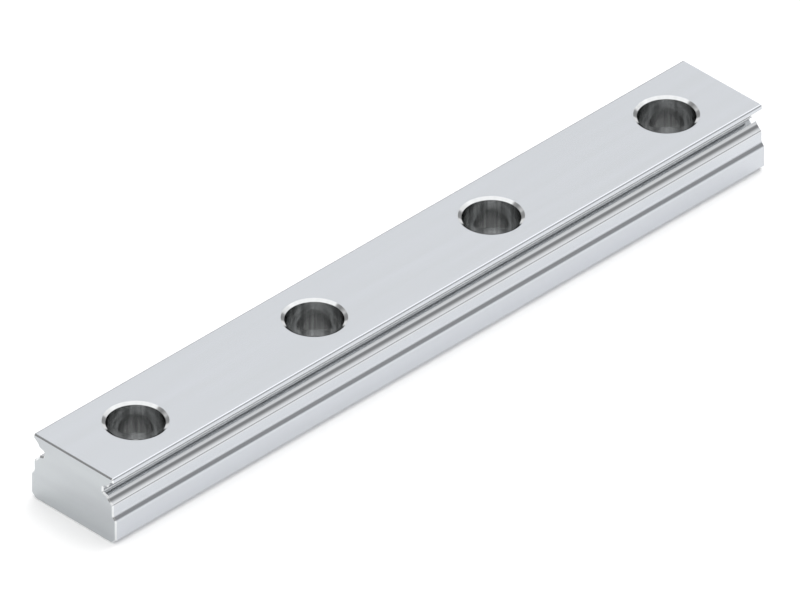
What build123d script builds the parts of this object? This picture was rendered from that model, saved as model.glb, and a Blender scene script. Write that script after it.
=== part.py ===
"""Miniature linear guide rail, ground from one bar of stainless steel.

One solid. Millimetres, +X along the rail, +Z up, the mounting face on Z = 0
and the origin under the middle of the rail.
"""
import os

from build123d import *

# Row of counterbored screw holes; the end margins set the rail's length
hole_count = 4
hole_pitch = 25.0
near_end_margin = 8.7
far_end_margin = 8.1
screw_hole_diameter = 3.5
counterbore_diameter = 6.0
counterbore_depth = 4.5
mouth_chamfer_width = 0.37
mouth_chamfer_depth = 0.22
underside_chamfer = 0.2

# Base of the section
rail_height = 7.85
base_half_width = 6.0
base_wall_height = 2.9
base_chamfer = 0.6
shoulder_step = 0.4
shoulder_rise = 0.5
shoulder_radius = 0.4
wall_foot_radius = 0.45

# Flange over the raceway
flange_overhang = 0.03
flange_fillet = 0.25

# Raceway on each side: two ball arcs with a relief channel between them,
# its widths taken from the side wall and its height from the top face;
# each arc ends at a lip, a little short of where its circle is deepest
raceway_below_top = 1.87
ball_centre_outside_wall = 0.6
groove_radius = 1.5
arch_offset = 0.08
mouth_radius = 0.2
lip_short_of_deepest = 0.12
channel_depth = 1.43
channel_floor_height = 0.62
channel_floor_radius = 0.12

# Broken edges round both cut ends
end_chamfer = 0.15

# Half widths and heights that follow from the sizes above
wall_half_width = base_half_width - shoulder_step
flange_half_width = wall_half_width + flange_overhang
ball_centre_half = wall_half_width + ball_centre_outside_wall
lip_half = ball_centre_half - groove_radius + lip_short_of_deepest
channel_floor_half = wall_half_width - channel_depth
raceway_height = rail_height - raceway_below_top
upper_centre = raceway_height - arch_offset
lower_centre = raceway_height + arch_offset


def groove_offset(half_width):
    """Height of a raceway arc above or below its own centre at one half width."""
    run = ball_centre_half - half_width
    return (groove_radius**2 - run**2) ** 0.5


def upper_arc(half_width):
    """Point of the arc under the flange at one half width."""
    return (half_width, upper_centre + groove_offset(half_width))


def lower_arc(half_width):
    """Point of the arc above the side wall at one half width."""
    return (half_width, lower_centre - groove_offset(half_width))


upper_mouth = upper_arc(flange_half_width)
upper_lip = upper_arc(lip_half)
lower_lip = lower_arc(lip_half)
lower_mouth = lower_arc(wall_half_width)
channel_top = (channel_floor_half, raceway_height + channel_floor_height / 2)
channel_bottom = (channel_floor_half, raceway_height - channel_floor_height / 2)
shoulder = (base_half_width, base_wall_height)
wall_foot = (wall_half_width, base_wall_height + shoulder_rise)
flange_corner = (flange_half_width, rail_height)

# Corners of the section that the grinding wheel leaves round
rounded_corners = [
    (shoulder, shoulder_radius),
    (wall_foot, wall_foot_radius),
    (channel_bottom, channel_floor_radius),
    (channel_top, channel_floor_radius),
    (flange_corner, flange_fillet),
]

# Length of the bar and the place of the hole row on it
row_length = (hole_count - 1) * hole_pitch
rail_length = near_end_margin + row_length + far_end_margin
row_centre_x = (near_end_margin - far_end_margin) / 2

with BuildPart() as guide_rail:
    # Half of the ground section, mirrored and run out along the rail
    with BuildSketch(Plane.YZ) as section:
        with BuildLine():
            Polyline(
                (0, 0),
                (base_half_width - base_chamfer, 0),
                (base_half_width, base_chamfer),
                shoulder,
                wall_foot,
                lower_mouth,
            )
            ThreePointArc(lower_mouth, lower_arc((wall_half_width + lip_half) / 2), lower_lip)
            Polyline(lower_lip, channel_bottom, channel_top, upper_lip)
            ThreePointArc(upper_lip, upper_arc((lip_half + flange_half_width) / 2), upper_mouth)
            Polyline(upper_mouth, flange_corner, (0, rail_height), (0, 0))
        make_face()
        for corner, radius in rounded_corners:
            fillet(section.vertices().sort_by_distance(corner)[0], radius)
        mirror(about=Plane.YZ)
    extrude(amount=rail_length / 2, both=True)

    # Broken edges round both cut ends
    chamfer(guide_rail.faces().filter_by(Axis.X).edges(), end_chamfer)

    # Small radius along the mouths of both raceways
    long_edges = guide_rail.edges().filter_by(Axis.X)
    for half_width, height in (lower_mouth, upper_mouth):
        for side in (-1, 1):
            fillet(long_edges.sort_by_distance((0, side * half_width, height))[0], mouth_radius)

    # Counterbored screw holes, cut down from the top face
    with Locations((row_centre_x, 0, rail_height)):
        with GridLocations(hole_pitch, 0, hole_count, 1):
            CounterBoreHole(
                radius=screw_hole_diameter / 2,
                counter_bore_radius=counterbore_diameter / 2,
                counter_bore_depth=counterbore_depth,
            )

    # Chamfered mouths on the top face and light ones on the mounting face
    top_face = guide_rail.faces().sort_by(Axis.Z)[-1]
    mouths = top_face.edges().filter_by(GeomType.CIRCLE)
    chamfer(mouths, mouth_chamfer_width, mouth_chamfer_depth, reference=top_face)
    mounting_face = guide_rail.faces().sort_by(Axis.Z)[0]
    chamfer(mounting_face.edges().filter_by(GeomType.CIRCLE), underside_chamfer)

guide_rail.part.label = "guide_rail"

os.makedirs("parts", exist_ok=True)
export_step(guide_rail.part, "parts/guide_rail.step")
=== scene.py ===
"""Miniature linear guide rail on a white studio sheet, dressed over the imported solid."""

import math

import bpy
import mathutils
import numpy as np
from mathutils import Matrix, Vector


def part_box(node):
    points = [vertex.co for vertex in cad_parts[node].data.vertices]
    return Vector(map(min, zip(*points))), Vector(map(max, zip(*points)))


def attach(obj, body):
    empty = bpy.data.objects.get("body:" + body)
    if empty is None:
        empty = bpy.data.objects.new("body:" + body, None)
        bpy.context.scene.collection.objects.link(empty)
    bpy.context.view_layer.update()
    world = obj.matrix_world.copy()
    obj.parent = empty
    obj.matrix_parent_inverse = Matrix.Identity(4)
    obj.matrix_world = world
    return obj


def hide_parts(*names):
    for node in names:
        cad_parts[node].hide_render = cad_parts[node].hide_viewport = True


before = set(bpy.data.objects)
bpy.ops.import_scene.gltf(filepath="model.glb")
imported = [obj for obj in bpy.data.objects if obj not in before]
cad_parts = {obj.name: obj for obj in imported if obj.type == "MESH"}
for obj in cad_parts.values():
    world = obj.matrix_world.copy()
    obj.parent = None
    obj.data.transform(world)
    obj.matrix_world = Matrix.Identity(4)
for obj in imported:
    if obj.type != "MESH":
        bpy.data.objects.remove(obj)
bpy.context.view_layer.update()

MM = 0.001
low_corner, high_corner = (np.array(corner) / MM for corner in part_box("guide_rail"))

# The rail's own sizes in millimetres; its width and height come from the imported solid
base_half_width = high_corner[1]
rail_height = high_corner[2]
hole_pitch = 25.0
hole_count = 4
near_end_margin = 8.7
first_hole_x = low_corner[0] + near_end_margin
counterbore_radius = 3.0
counterbore_depth = 4.5
screw_hole_radius = 1.75
mouth_chamfer_width = 0.37
mouth_chamfer_depth = 0.22
underside_chamfer = 0.2
end_chamfer = 0.15
base_wall_height = 2.9
base_chamfer = 0.6
shoulder_step = 0.4
shoulder_rise = 0.5
flange_overhang = 0.03
channel_depth = 1.43
channel_floor_height = 0.62
ball_centre_outside_wall = 0.6
groove_radius = 1.5
lip_short_of_deepest = 0.12
raceway_below_top = 1.87
arch_offset = 0.08

# Half widths and heights that follow from the sizes above
wall_half_width = base_half_width - shoulder_step
flange_half_width = wall_half_width + flange_overhang
channel_floor_half = wall_half_width - channel_depth
ball_centre_half = wall_half_width + ball_centre_outside_wall
lip_half = ball_centre_half - groove_radius + lip_short_of_deepest
raceway_height = rail_height - raceway_below_top
channel_top = raceway_height + channel_floor_height / 2
channel_bottom = raceway_height - channel_floor_height / 2

# Radii of the rounded corners of the section, in millimetres
flange_radius = 0.25
groove_mouth_radius = 0.2
lip_radius = 0.03
channel_radius = 0.12
wall_foot_radius = 0.45
shoulder_radius = 0.4
base_edge_radius = 0.06

# Radii of the rounded corners of a hole's profile, in millimetres
hole_edge_radius = 0.03
tool_nose_radius = 0.12
seat_radius = 0.04
underside_radius = 0.02

# Smallest rounding that is left where the end chamfer cuts a corner back
least_radius = 0.01

# How finely the skin is divided
steps_per_side = 24
arc_steps = 12
rings_per_plate = 3
fine_steps = 3
edge_steps = 4
corner_steps = 6
broad_steps = 8
flange_steps = 12

# Where the patches start on the flat map, in millimetres, so that their marks don't line up
sides_on_map = 20
holes_on_map = 40
ends_on_map = 60

# Steps between run numbers, which keep one patch or end strip apart from the next at sharp edges
near_strip_runs = 200
far_strip_runs = 400
patch_runs = 1000

# Finishes, in the order of the rail's material slots
GROUND, RACEWAY, CHANNEL, CUT_END, EDGE, MOUTH, BORE, SEAT = range(8)


def arc_point(half_width, side):
    """Point of a raceway arc: its centre height plus or minus the circle's height at that half width."""
    run = ball_centre_half - half_width
    centre = raceway_height - side * arch_offset
    return (half_width, centre + side * math.sqrt(groove_radius**2 - run**2))


# Corners of the half section from the top face down to the mounting face:
# place, radius, steps of the rounding, side of the arc that follows (0 if straight), finish
section_corners = [
    ((flange_half_width, rail_height), flange_radius, flange_steps, 0, GROUND),
    (arc_point(flange_half_width, 1), groove_mouth_radius, broad_steps, 1, RACEWAY),
    (arc_point(lip_half, 1), lip_radius, fine_steps, 0, CHANNEL),
    ((channel_floor_half, channel_top), channel_radius, corner_steps, 0, CHANNEL),
    ((channel_floor_half, channel_bottom), channel_radius, corner_steps, 0, CHANNEL),
    (arc_point(lip_half, -1), lip_radius, fine_steps, -1, RACEWAY),
    (arc_point(wall_half_width, -1), groove_mouth_radius, broad_steps, 0, GROUND),
    ((wall_half_width, base_wall_height + shoulder_rise), wall_foot_radius, broad_steps, 0, GROUND),
    ((base_half_width, base_wall_height), shoulder_radius, broad_steps, 0, GROUND),
    ((base_half_width, base_chamfer), base_edge_radius, edge_steps, 0, GROUND),
    ((base_half_width - base_chamfer, 0.0), base_edge_radius, edge_steps, 0, GROUND),
]

# Corners of a hole's profile from the top face down: place, radius, steps, finish of what follows
hole_corners = [
    ((counterbore_radius + mouth_chamfer_width, rail_height), hole_edge_radius, fine_steps, MOUTH),
    ((counterbore_radius, rail_height - mouth_chamfer_depth), hole_edge_radius, fine_steps, BORE),
    ((counterbore_radius, rail_height - counterbore_depth), tool_nose_radius, corner_steps, SEAT),
    ((screw_hole_radius, rail_height - counterbore_depth), seat_radius, fine_steps, BORE),
    ((screw_hole_radius, underside_chamfer), hole_edge_radius, fine_steps, BORE),
    ((screw_hole_radius + underside_chamfer, 0.0), underside_radius, fine_steps, BORE),
]


def unit(vector):
    return vector / np.linalg.norm(vector)


def turned(vector, angle):
    """The vector turned anticlockwise by the angle."""
    c, s = math.cos(angle), math.sin(angle)
    return np.array([c * vector[0] - s * vector[1], s * vector[0] + c * vector[1]])


def turn_between(arriving, leaving):
    """Signed angle from one direction to the next, positive when it turns left."""
    return math.atan2(arriving[0] * leaving[1] - arriving[1] * leaving[0], arriving @ leaving)


def bend(corner, arriving, turn, radius, steps):
    """Points of a circle of the given radius that touches both runs at a corner.

    The circle starts at the corner minus the trim, which is radius times the tangent of half the turn.
    """
    inward = turned(arriving, math.copysign(math.pi / 2, turn))
    middle = corner - arriving * radius * math.tan(abs(turn) / 2) + inward * radius
    return np.array([middle + turned(-inward * radius, turn * step / steps) for step in range(steps + 1)])


def line_meets_circle(point, direction, centre, radius, near):
    """The crossing of a line and a circle that lies nearer to a given point."""
    to_start = point - centre
    along = to_start @ direction
    root = math.sqrt(along**2 - to_start @ to_start + radius**2)
    crossings = [point + direction * (-along + sign * root) for sign in (-1, 1)]
    return min(crossings, key=lambda crossing: np.linalg.norm(crossing - near))


def half_section(inset):
    """Points, run numbers and finishes of the half section, drawn into the metal by an inset.

    Each straight run moves inwards by the inset and each raceway arc's radius grows by it.
    Convex roundings shrink by the inset and concave ones grow.
    """
    places = [np.array(place, float) for place, *_ in section_corners]
    sides = [0] + [corner[3] for corner in section_corners]
    centres = {side: np.array([ball_centre_half, raceway_height - side * arch_offset]) for side in (-1, 1)}
    stops = [np.array([0.0, rail_height])] + places + [np.array([0.0, 0.0])]
    headings = [unit(b - a) for a, b in zip(stops, stops[1:])]
    normals = [turned(heading, math.pi / 2) for heading in headings]
    size = groove_radius + inset

    corners = []
    for k, place in enumerate(places):
        if sides[k] or sides[k + 1]:
            straight, arc = (k, k + 1) if sides[k + 1] else (k + 1, k)
            start = place - normals[straight] * inset
            corners.append(line_meets_circle(start, headings[straight], centres[sides[arc]], size, place))
        else:
            miter = normals[k] + normals[k + 1]
            corners.append(place - miter * inset / (1 + normals[k] @ normals[k + 1]))

    def heading_at(run, corner):
        """Direction of travel of a run at one of its corners: its own, or the arc's tangent."""
        if sides[run]:
            return turned(unit(corner - centres[sides[run]]), math.pi / 2)
        return headings[run]

    rounds = []
    for k, corner in enumerate(corners):
        arriving = heading_at(k, corner)
        turn = turn_between(arriving, heading_at(k + 1, corner))
        _, radius, steps, _, _ = section_corners[k]
        radius = max(radius - inset, least_radius) if turn < 0 else radius + inset
        rounds.append(bend(corner, arriving, turn, radius, steps))

    points, runs, finishes = [], [], []
    for k, rounding in enumerate(rounds):
        _, _, steps, side, finish = section_corners[k]
        points.append(rounding)
        runs += [2 * k + 1] * steps
        finishes += [RACEWAY if side or sides[k] else finish] * steps
        if side:
            first, last = (
                math.atan2(*(end - centres[side])[::-1]) % (2 * math.pi)
                for end in (rounding[-1], rounds[k + 1][0])
            )
            angles = np.linspace(first, last, arc_steps + 1)[1:-1]
            points.append(centres[side] + size * np.stack([np.cos(angles), np.sin(angles)], 1))
        if k + 1 < len(rounds):
            count = arc_steps if side else 1
            runs += [2 * k + 2] * count
            finishes += [finish] * count
    return np.concatenate(points), np.array(runs), np.array(finishes)


def hole_profile():
    """Points, run numbers and finishes of a hole's wall, from the top face to the mounting face."""
    places = [np.array(place) for place, *_ in hole_corners]
    stops = [places[0] + [1, 0]] + places + [places[-1] + [1, 0]]
    headings = [unit(b - a) for a, b in zip(stops, stops[1:])]
    points, runs, finishes = [], [], []
    for k, (place, radius, steps, finish) in enumerate(hole_corners):
        points.append(bend(place, headings[k], turn_between(headings[k], headings[k + 1]), radius, steps))
        runs += [2 * k + 1] * steps + [2 * k + 2]
        finishes += [finish] * (steps + 1)
    return np.concatenate(points), np.array(runs[:-1]), np.array(finishes[:-1])


def path_length(points):
    """Distance travelled along a path at each of its points."""
    return np.concatenate([[0], np.cumsum(np.linalg.norm(np.diff(points, axis=0), axis=1))])


patches = []


def add_patch(points, flat, finish, run, inside_out=False):
    """Keep a grid of points with its flat coordinates in millimetres.

    Finish and run number are given for each cell, or once for all cells.
    """
    rows, columns = points.shape[0] - 1, points.shape[1] - 1
    finish = np.broadcast_to(finish, (rows, columns))
    run = np.broadcast_to(run, (rows, columns)) + patch_runs * len(patches)
    patches.append((points, flat, finish, run, inside_out))


def grid(*layers):
    """Stack equally shaped layers of numbers into one grid of points."""
    return np.stack(np.broadcast_arrays(*layers), -1)


def add_sides(section, inner, runs, finishes, stations):
    """Both flanks: the half section carried along the stations, its ends closing in to the inset section."""
    x = np.concatenate([[low_corner[0]], stations, [high_corner[0]]])[:, None]
    across = np.vstack([inner[:, 0]] + [section[:, 0]] * len(stations) + [inner[:, 0]])
    up = np.vstack([inner[:, 1]] + [section[:, 1]] * len(stations) + [inner[:, 1]])
    row_finish = np.tile(finishes, (len(x) - 1, 1))
    # The strips at both ends take the edge finish, whose light grey is a painted glint
    row_finish[[0, -1]] = EDGE
    row_run = np.tile(runs, (len(x) - 1, 1))
    row_run[0] += near_strip_runs
    row_run[-1] += far_strip_runs
    along = path_length(section)
    for side in (1, -1):
        flat = grid(x, side * (sides_on_map + along)[None, :])
        add_patch(grid(x, side * across, up), flat, row_finish, row_run, side < 0)


def angles_round_hole(count):
    """Angles round a hole in equal steps, from the corner at minus 45 degrees of the plate around it."""
    return math.radians(-45) + np.arange(count) * math.tau / (4 * steps_per_side)


def add_plate(hole_x, start, end, half_width, height, hole_radius, facing_down):
    """A flat face around one hole: straight spokes from the circle to the rectangle's rim.

    Each quarter of the circle goes with one side of the rectangle, in equal steps on both.
    """
    s = np.linspace(-1, 1, steps_per_side + 1)[:-1]
    ahead, middle, ones = (end - start) / 2, (end + start) / 2, np.ones_like(s)
    rim_x = np.concatenate([end * ones, middle - s * ahead, start * ones, middle + s * ahead])
    rim_y = np.concatenate([s, ones, -s, -ones]) * half_width
    angle = angles_round_hole(4 * steps_per_side)
    spoke = np.linspace(0, 1, rings_per_plate + 1)[:, None]
    x = (1 - spoke) * (hole_x + hole_radius * np.cos(angle)) + spoke * rim_x
    y = (1 - spoke) * hole_radius * np.sin(angle) + spoke * rim_y
    x, y = (np.hstack([part, part[:, :1]]) for part in (x, y))
    add_patch(grid(x, y, height), grid(x, y), GROUND, 0, facing_down)


def add_hole(hole_x, profile, runs, finishes):
    """The wall of a hole: its profile turned once about the hole's axis."""
    angle = angles_round_hole(4 * steps_per_side + 1)
    radius, height = profile[:, :1], profile[:, 1:]
    points = grid(hole_x + radius * np.cos(angle), radius * np.sin(angle), height)
    flat = grid(counterbore_radius * angle + hole_x, holes_on_map + path_length(profile)[:, None])
    add_patch(points, flat, finishes[:, None], runs[:, None], True)


def add_ends(section, inner):
    """The two cut faces with the chamfer strips above and below them."""
    t = np.linspace(-1, 1, steps_per_side + 1)
    for end_x, step in ((low_corner[0], end_chamfer), (high_corner[0], -end_chamfer)):
        high_end = step < 0
        points = grid(end_x, inner[:, :1] * t, inner[:, 1:])
        add_patch(points, points[..., 1:] + [ends_on_map, 0], CUT_END, 0, not high_end)
        for row in (0, -1):
            edge = np.vstack([inner[row, 0] * t, section[row, 0] * t])
            x = np.array([[end_x], [end_x + step]])
            z = np.array([[inner[row, 1]], [section[row, 1]]])
            points = grid(x, edge, z)
            add_patch(points, points[..., :2], EDGE, 0, high_end != (row == -1))


def build_rail():
    """Join all patches into one closed mesh in metres, with its finishes, sharp edges and flat map."""
    section, runs, finishes = half_section(0.0)
    inner, _, _ = half_section(end_chamfer)
    profile, hole_runs, hole_finishes = hole_profile()
    holes = first_hole_x + hole_pitch * np.arange(hole_count)
    limits = np.concatenate([
        [low_corner[0] + end_chamfer],
        (holes[1:] + holes[:-1]) / 2,
        [high_corner[0] - end_chamfer],
    ])
    cells = [np.linspace(a, b, steps_per_side + 1)[:-1] for a, b in zip(limits, limits[1:])]
    stations = np.concatenate(cells + [limits[-1:]])
    add_sides(section, inner, runs, finishes, stations)
    for hole_x, start, end in zip(holes, limits, limits[1:]):
        add_plate(hole_x, start, end, section[0, 0], rail_height, profile[0, 0], False)
        add_plate(hole_x, start, end, section[-1, 0], 0.0, profile[-1, 0], True)
        add_hole(hole_x, profile, hole_runs, hole_finishes)
    add_ends(section, inner)

    faces, offset = [], 0
    for points, _, _, _, inside_out in patches:
        index = offset + np.arange(points.shape[0] * points.shape[1]).reshape(points.shape[:2])
        quads = np.stack([index[:-1, :-1], index[1:, :-1], index[1:, 1:], index[:-1, 1:]], -1).reshape(-1, 4)
        faces.append(quads[:, ::-1] if inside_out else quads)
        offset += index.size
    faces = np.concatenate(faces)
    points = np.concatenate([patch[0].reshape(-1, 3) for patch in patches])
    flat = np.concatenate([patch[1].reshape(-1, 2) for patch in patches])
    finish = np.concatenate([patch[2].ravel() for patch in patches])
    run = np.concatenate([patch[3].ravel() for patch in patches])

    # Points that agree to a ten thousandth of a millimetre become one
    _, first, welded = np.unique(np.round(points, 4), axis=0, return_index=True, return_inverse=True)
    points = np.clip(points[first], low_corner, high_corner)
    mesh = bpy.data.meshes.new("rail_skin")
    mesh.from_pydata(points * MM, [], welded.ravel()[faces])
    mesh.polygons.foreach_set("material_index", finish.astype(np.int32))
    mesh.polygons.foreach_set("use_smooth", np.ones(len(faces), bool))
    surface = mesh.uv_layers.new(name="surface_mm")
    surface.data.foreach_set("uv", flat[faces.ravel()].astype(np.float32).ravel())

    loop_edges = np.empty(len(mesh.loops), np.int32)
    mesh.loops.foreach_get("edge_index", loop_edges)
    lowest = np.full(len(mesh.edges), run.max())
    highest = np.zeros(len(mesh.edges), int)
    np.minimum.at(lowest, loop_edges, np.repeat(run, 4))
    np.maximum.at(highest, loop_edges, np.repeat(run, 4))
    mesh.edges.foreach_set("use_edge_sharp", lowest != highest)
    mesh.update()
    rail = bpy.data.objects.new("rail", mesh)
    bpy.context.scene.collection.objects.link(rail)
    return rail


def linear(hex_colour):
    """An sRGB hex colour as linear red, green, blue and alpha."""
    parts = [int(hex_colour[i:i + 2], 16) / 255 for i in (0, 2, 4)]
    return [p / 12.92 if p <= 0.04045 else ((p + 0.055) / 1.055) ** 2.4 for p in parts] + [1.0]


def add_node(tree, kind, inputs, **settings):
    """Add a node; each input takes a plain value or another node's output."""
    node = tree.nodes.new(kind)
    for name, value in settings.items():
        setattr(node, name, value)
    for name, value in inputs.items():
        if isinstance(value, bpy.types.NodeSocket):
            tree.links.new(value, node.inputs[name])
        else:
            node.inputs[name].default_value = value
    return node


def marks(tree, length, width, detail):
    """Noise from 0 to 1 stretched to marks of a length and width in millimetres on the flat map."""
    place = add_node(tree, "ShaderNodeUVMap", {}, uv_map="surface_mm")
    stretched = add_node(tree, "ShaderNodeVectorMath", {0: place.outputs[0], 1: (1 / length, 1 / width, 1)},
                         operation="MULTIPLY")
    noise = add_node(tree, "ShaderNodeTexNoise",
                     {"Vector": stretched.outputs[0], "Scale": 1.0, "Detail": detail,
                      "Roughness": noise_roughness})
    return noise.outputs["Fac"]


def spread(tree, value, low, high, start=0.3, stop=0.7):
    """A value from start to stop carried over to low to high."""
    node = add_node(tree, "ShaderNodeMapRange",
                    {"Value": value, "From Min": start, "From Max": stop, "To Min": low, "To Max": high})
    return node.outputs["Result"]


def worked_steel(name, light, dark, roughness, roughness_spread, line, patch, relief):
    """Bare steel with one family of tool marks.

    Line and patch give length and width in millimetres of the single marks and of the broad tone changes.
    Relief is the height in micrometres that the marks bump the surface by.
    """
    material = bpy.data.materials.new(name)
    material.use_nodes = True
    tree = material.node_tree
    tree.nodes.clear()
    lines = marks(tree, *line, line_detail)
    patches_tone = marks(tree, *patch, patch_detail)
    # Inputs 6 and 7 are the two colours of a mix node
    tone = add_node(tree, "ShaderNodeMix",
                    {"Factor": spread(tree, patches_tone, 0, 1), 6: linear(dark), 7: linear(light)},
                    data_type="RGBA")
    half = roughness_spread / 2
    sheen = add_node(tree, "ShaderNodeMath",
                     {0: spread(tree, lines, roughness - half, roughness + half),
                      1: spread(tree, patches_tone, half / 2, -half / 2)}, operation="ADD")
    bump = add_node(tree, "ShaderNodeBump",
                    {"Height": lines, "Distance": relief * 1e-6, "Strength": 1.0})
    steel = add_node(tree, "ShaderNodeBsdfPrincipled",
                     {"Base Color": tone.outputs[2], "Roughness": sheen.outputs[0],
                      "Metallic": 1.0, "Normal": bump.outputs[0]})
    add_node(tree, "ShaderNodeOutputMaterial", {"Surface": steel.outputs[0]})
    return material


def finish_rail(rail):
    """One material for each way the surface was worked; the edge and bore colours also carry painted light.
    Real marks are finer and are drawn coarser here.
    """
    # Surface grinding along the rail: a calm satin grey with faint lines that run the whole length
    ground = worked_steel("surface_ground_steel", "c9ccd1", "c7cace", 0.18, 0.05, (30, 0.12), (40, 1.5), 0.4)
    # Profile grinding of the ball grooves: a brighter, smoother band that mirrors the room as stripes
    raceway = worked_steel("profile_ground_raceway_steel", "d0d2d4", "cacccf", 0.08, 0.04,
                           (60, 0.08), (50, 0.5), 0.2)
    # Relief channel left from drawing the bar: smooth enough to mirror its own narrow walls as dark lines
    channel = worked_steel("drawn_relief_channel_steel", "ced0d2", "c6c8ca", 0.12, 0.05,
                           (20, 0.1), (15, 1), 0.3)
    # Abrasive cut-off: short scratches across the end, less even than the ground faces
    cut = worked_steel("abrasive_cut_end_steel", "bec2c4", "b7babd", 0.2, 0.09, (9, 0.12), (12, 2.5), 0.5)
    # Broken edge round the end, stoned by hand: its grey is lighter than the other steel, a painted glint
    # along the end chamfers, and it also glints where it turns to the light
    edge = worked_steel("stoned_edge_steel_painted_glint", "e2e4e5", "d8dadb", 0.14, 0.05, (1.5, 0.1), (2, 1), 0.1)
    # Countersunk mouth: crisp and bright, with fine chatter marks across it
    mouth = worked_steel("countersunk_mouth_steel", "d6d7d8", "cfd1d2", 0.08, 0.04, (0.1, 1), (0.5, 4), 0.15)
    # Counterboring tool: a smooth wall with bumped streaks down it from drawing the tool back out. Its colour
    # streaks, from steel grey to a much darker grey, are painted shade in the hole and painted streaks of
    # reflection
    bore = worked_steel("counterbored_hole_steel_painted_shade", "d2d3d3", "a4a5a5", 0.15, 0.04, (0.12, 6), (0.35, 9), 0.15)
    # Seat under the screw head: rings left by the end of the counterboring tool
    seat = worked_steel("counterbored_seat_steel", "cfd0d1", "b4b6b7", 0.2, 0.08, (12, 0.12), (9, 0.3), 0.6)
    for material in (ground, raceway, channel, cut, edge, mouth, bore, seat):
        rail.data.materials.append(material)


def add_floor():
    """A large white sheet under the rail, faintly lit from below as on a light table."""
    half = sheet_half_size
    mesh = bpy.data.meshes.new("floor")
    corners = [(-half, -half, 0), (half, -half, 0), (half, half, 0), (-half, half, 0)]
    mesh.from_pydata(corners, [], [(0, 1, 2, 3)])
    floor = bpy.data.objects.new("floor", mesh)
    bpy.context.scene.collection.objects.link(floor)
    # Matt white acrylic: no gloss, so that the rail stands on an even field with a light shadow
    acrylic = bpy.data.materials.new("backlit_matt_white_acrylic")
    acrylic.use_nodes = True
    shader = acrylic.node_tree.nodes["Principled BSDF"]
    shader.inputs["Base Color"].default_value = linear(sheet_colour)
    shader.inputs["Roughness"].default_value = 1.0
    shader.inputs["Specular IOR Level"].default_value = 0.0
    shader.inputs["Emission Color"].default_value = linear("ffffff")
    shader.inputs["Emission Strength"].default_value = sheet_glow
    mesh.materials.append(acrylic)


def light_ramp(tree, height, stops):
    """Brightness against the sine of elevation, through stops of elevation in degrees and brightness."""
    ramp = add_node(tree, "ShaderNodeFloatCurve", {"Value": height})
    curve = ramp.mapping.curves[0]
    peak = max(level for _, level in stops)
    points = [(math.sin(math.radians(angle)), level / peak) for angle, level in stops]
    for place, (across, level) in zip(curve.points, points[:1] + points[-1:]):
        place.location = (across, level)
    for across, level in points[1:-1]:
        curve.points.new(across, level)
    for point in curve.points:
        point.handle_type = "VECTOR"
    ramp.mapping.update()
    return add_node(tree, "ShaderNodeMath", {0: ramp.outputs[0], 1: peak}, operation="MULTIPLY").outputs[0]


def add_studio():
    """Soft light from all round: a broad overhead box, grey walls below it and a white horizon.

    At the two ends the box comes lower, with a bright strip along it; the two sides have a grey wall each.
    """
    world = bpy.data.worlds.new("studio")
    world.use_nodes = True
    tree = world.node_tree
    direction = add_node(tree, "ShaderNodeTexCoord", {}).outputs["Generated"]
    height = add_node(tree, "ShaderNodeSeparateXYZ", {0: direction}).outputs["Z"]

    def towards(heading):
        """Cosine between the direction looked at and a heading."""
        return add_node(tree, "ShaderNodeVectorMath", {0: direction, 1: heading},
                        operation="DOT_PRODUCT").outputs["Value"]

    def mixed(share, first, second):
        return add_node(tree, "ShaderNodeMix", {0: share, 2: first, 3: second}, data_type="FLOAT").outputs[0]

    along = add_node(tree, "ShaderNodeMath", {0: towards(end_heading)}, operation="ABSOLUTE").outputs[0]
    end_share = spread(tree, along, 0, 1, *end_blend)
    far_share = spread(tree, towards(far_heading), 0, 1, *far_blend)
    sides = mixed(far_share, light_ramp(tree, height, near_wall), light_ramp(tree, height, far_wall))
    level = mixed(end_share, sides, light_ramp(tree, height, end_walls))
    background = tree.nodes["Background"]
    tree.links.new(level, background.inputs["Strength"])
    background.inputs["Color"].default_value = linear("ffffff")
    bpy.context.scene.world = world


def add_key_light():
    """A soft box beyond the far end, high up, that lets the near end stand in its own soft shade."""
    light = bpy.data.lights.new("key_softbox", "AREA")
    light.shape = "SQUARE"
    light.size = key_size
    light.energy = key_watts
    key = bpy.data.objects.new("key_softbox", light)
    rise = math.radians(key_elevation)
    towards = mathutils.Vector((math.cos(rise), 0.0, math.sin(rise)))
    key.location = towards * key_distance
    # It lights the sheet but isn't mirrored: the edges glint with the bright strip of the end walls
    key.visible_glossy = False
    key.rotation_euler = towards.to_track_quat("Z", "Y").to_euler()
    bpy.context.scene.collection.objects.link(key)


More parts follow.
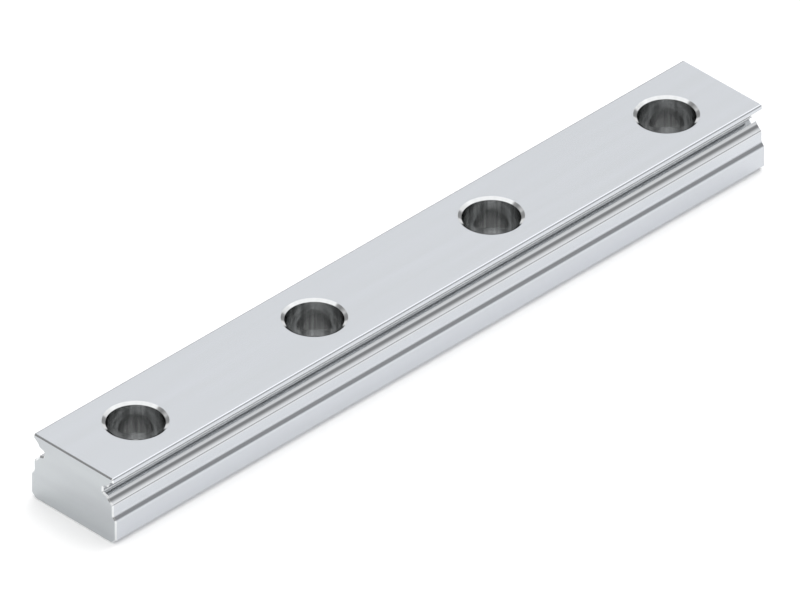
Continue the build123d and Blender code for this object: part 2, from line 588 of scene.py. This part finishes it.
def add_camera():
    """A long lens far away along the (-1, -1, 1) direction, so that parallel edges stay parallel."""
    camera_data = bpy.data.cameras.new("camera")
    camera_data.lens = lens
    camera_data.sensor_width = sensor_width
    distance = lens / sensor_width * picture_width_mm * MM
    camera_data.clip_start = distance / 2
    camera_data.clip_end = distance * 3
    camera = bpy.data.objects.new("camera", camera_data)
    back = mathutils.Vector((-1, -1, 1)).normalized()
    camera.location = mathutils.Vector(aim_mm) * MM + back * distance
    camera.rotation_euler = back.to_track_quat("Z", "Y").to_euler()
    bpy.context.scene.collection.objects.link(camera)
    bpy.context.scene.camera = camera


# Noise of the tool marks: octaves of the single marks and of the broad tone changes, and their falloff
line_detail = 3.0
patch_detail = 2.0
noise_roughness = 0.55
# The sheet: half its width in metres, its colour and how brightly it glows
sheet_half_size = 3.0
sheet_colour = "fcfcfc"
sheet_glow = 0.1
# Level headings of an end wall and of the far side wall, turned 32 degrees from the rail
end_heading = (0.85, 0.53, 0)
far_heading = (-0.53, 0.85, 0)
# Cosines to those headings between which one wall fades into the next
end_blend = (0.25, 0.6)
far_blend = (-0.1, 0.1)
# Elevation in degrees and brightness of the studio's near side, its far side and its two ends
near_wall = [(0, 1.0), (4, 0.9), (7, 0.85), (12, 1.05), (17, 1.0), (21, 0.6), (25, 0.34), (35, 0.33),
             (39, 0.5), (43, 0.7), (50, 1.05), (55, 1.35), (90, 1.35)]
far_wall = [(0, 1.0), (9, 1.0), (12, 0.42), (20, 0.34), (28, 0.45), (33, 0.3), (44, 0.33), (51, 0.45),
            (55, 1.35), (90, 1.35)]
end_walls = [(0, 1.0), (9, 1.0), (12, 0.42), (19, 0.34), (26, 0.42), (31, 1.12), (38, 1.14), (45, 1.4),
             (53, 2.0), (58, 2.0), (63, 1.35), (90, 1.35)]
# The key light: elevation in degrees, size and distance in metres, power in watts
key_elevation = 63
key_size = 0.7
key_distance = 1.2
key_watts = 2.2
# The camera: lens and sensor in millimetres, and the width and middle of what it sees at the rail
lens = 1290.0
sensor_width = 36.0
picture_width_mm = 79.94
aim_mm = (-0.026, 0.115, 3.832)

rail = build_rail()
finish_rail(rail)
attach(rail, "root")
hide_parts("guide_rail")
add_floor()
add_studio()
add_key_light()
add_camera()
# The plain transform keeps the white sheet white and the greys of the steel as measured
bpy.context.scene.view_settings.view_transform = "Standard"
